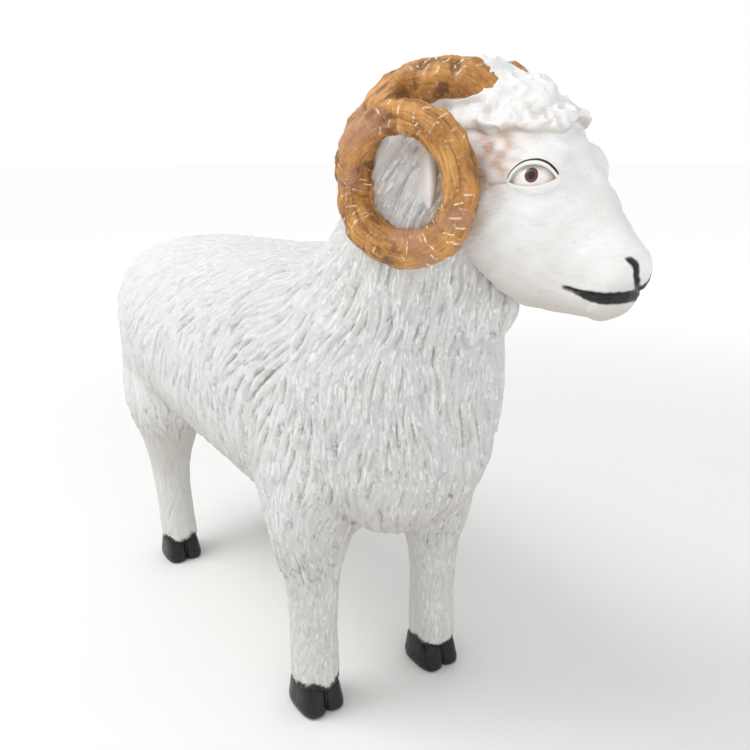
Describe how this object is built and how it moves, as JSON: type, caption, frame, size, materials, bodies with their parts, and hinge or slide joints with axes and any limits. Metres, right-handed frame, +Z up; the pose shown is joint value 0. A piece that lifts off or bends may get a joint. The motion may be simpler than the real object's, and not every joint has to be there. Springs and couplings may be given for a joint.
{
  "type": "standing ram statue",
  "caption": "Life-size standing ram figure with curled horns, hollow moulded resin shells painted as white fleece over a welded steel frame.",
  "frame": {"origin": "on the ground under the middle of the whole figure's box", "axes": "+X forward from tail to nose, +Y to the ram's left, +Z up"},
  "size_m": [1.2477, 0.4282, 1.0165],
  "materials": {
    "fleece_paint": "satin white paint over a beige wash on moulded resin",
    "face_paint": "satin white paint, brushed thinly over beige, on moulded resin",
    "leg_paint": "satin white paint with a beige wash on moulded resin",
    "horn_paint": "satin ochre and brown paint with cream dry brushing on cast resin",
    "hoof_paint": "gloss black paint on cast resin",
    "eye_paint": "gloss ivory, dark red and black paint on cast resin",
    "laminate": "bare glass-fibre laminate",
    "frame_steel": "grey primer on round steel bar"
  },
  "bodies": {
    "root": {"body_shell_right": "fleece_paint", "body_shell_left": "fleece_paint", "tail": "fleece_paint", "head_shell": "face_paint", "ear_right": "face_paint", "ear_left": "face_paint", "leg_front_right": "leg_paint", "leg_front_left": "leg_paint", "leg_hind_right": "leg_paint", "leg_hind_left": "leg_paint", "horn_right": "horn_paint", "horn_left": "horn_paint", "hoof_front_right": "hoof_paint", "hoof_front_left": "hoof_paint", "hoof_hind_right": "hoof_paint", "hoof_hind_left": "hoof_paint", "eye_right": "eye_paint", "eye_left": "eye_paint", "seam_tape": "laminate", "leg_bar_front_right": "frame_steel", "leg_bar_front_left": "frame_steel", "leg_bar_hind_right": "frame_steel", "leg_bar_hind_left": "frame_steel", "cross_member_front": "frame_steel", "cross_member_hind": "frame_steel", "spine_bar": "frame_steel", "neck_bar": "frame_steel"}
  },
  "joints": []
}
